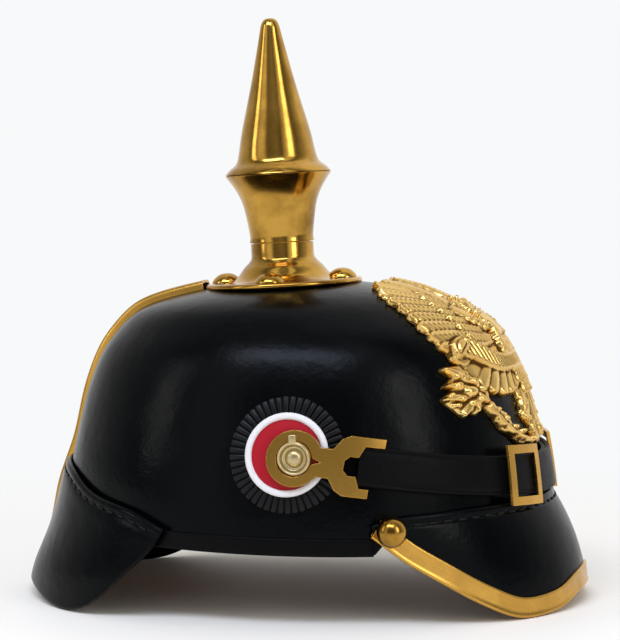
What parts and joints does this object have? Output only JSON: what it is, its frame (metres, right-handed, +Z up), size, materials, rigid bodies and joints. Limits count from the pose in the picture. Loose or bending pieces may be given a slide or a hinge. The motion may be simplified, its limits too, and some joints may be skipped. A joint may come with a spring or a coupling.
{
  "type": "spiked leather dress helmet",
  "caption": "Black leather helmet with a brass spike on a round base, an embossed front plate, side discs, brass visor trim, rear spine and a leather chin strap with sliding buckles",
  "frame": {"origin": "on the table, under the middle of the box round the whole helmet", "axes": "X to the wearer's front, Y to the wearer's left, Z up. The helmet stands on its visor and neck guard, so the spike leans back by 2.6 degrees"},
  "size_m": [0.2687, 0.19, 0.266],
  "materials": {
    "brass": "polished, lacquered",
    "gilt_brass": "gilded, embossed",
    "black_leather": "glossy lacquered",
    "black_ribbon": "pleated ribbon",
    "red_paint": "red dish with a white ring, satin",
    "tan_leather": "plain, matt",
    "plain_steel": "dull"
  },
  "bodies": {
    "helmet": {"skull": "black_leather", "edge_band_right": "black_leather", "edge_band_left": "black_leather", "neck_guard": "black_leather", "front_visor": "black_leather", "visor_trim": "brass", "trim_studs": "brass", "trim_nuts": "plain_steel", "rear_spine": "brass", "spine_pins": "brass", "spike_base": "brass", "crown_plate": "plain_steel", "base_studs": "brass", "base_nuts": "plain_steel", "rosette_right": "black_ribbon", "rosette_left": "black_ribbon", "disc_right": "red_paint", "disc_left": "red_paint", "side_post_right": "brass", "side_post_left": "brass", "side_post_nuts": "plain_steel", "liner": "tan_leather", "helmet_plate": "gilt_brass", "plate_nuts": "plain_steel"},
    "spike": {"spike_neck": "brass", "spike_cone": "brass", "spike_spigot": "brass"},
    "chin_strap": {"strap_lug_right": "brass", "strap_lug_left": "brass", "chin_strap_right": "black_leather", "chin_strap_left": "black_leather"},
    "buckle_right": {"buckle_right": "brass"},
    "buckle_left": {"buckle_left": "brass"}
  },
  "joints": [
    {"name": "spike_lift", "type": "slide", "parent": "helmet", "child": "spike", "axis": [-0.0454, 0, 0.999], "range_m": [0, 0.03]},
    {"name": "chin_strap_lift", "type": "hinge", "parent": "helmet", "child": "chin_strap", "pos_m": [0.01991, 0, 0.07351], "axis": [0, -1, 0], "range_deg": [0, 1.2]},
    {"name": "buckle_right_slide", "type": "hinge", "parent": "chin_strap", "child": "buckle_right", "pos_m": [0.03148, 0.00208, 0.05725], "axis": [0.1495, 0, 0.9888], "range_deg": [-3, 3]},
    {"name": "buckle_left_slide", "type": "hinge", "parent": "chin_strap", "child": "buckle_left", "pos_m": [0.03148, -0.00208, 0.05725], "axis": [0.1495, 0, 0.9888], "range_deg": [-3, 3]}
  ]
}
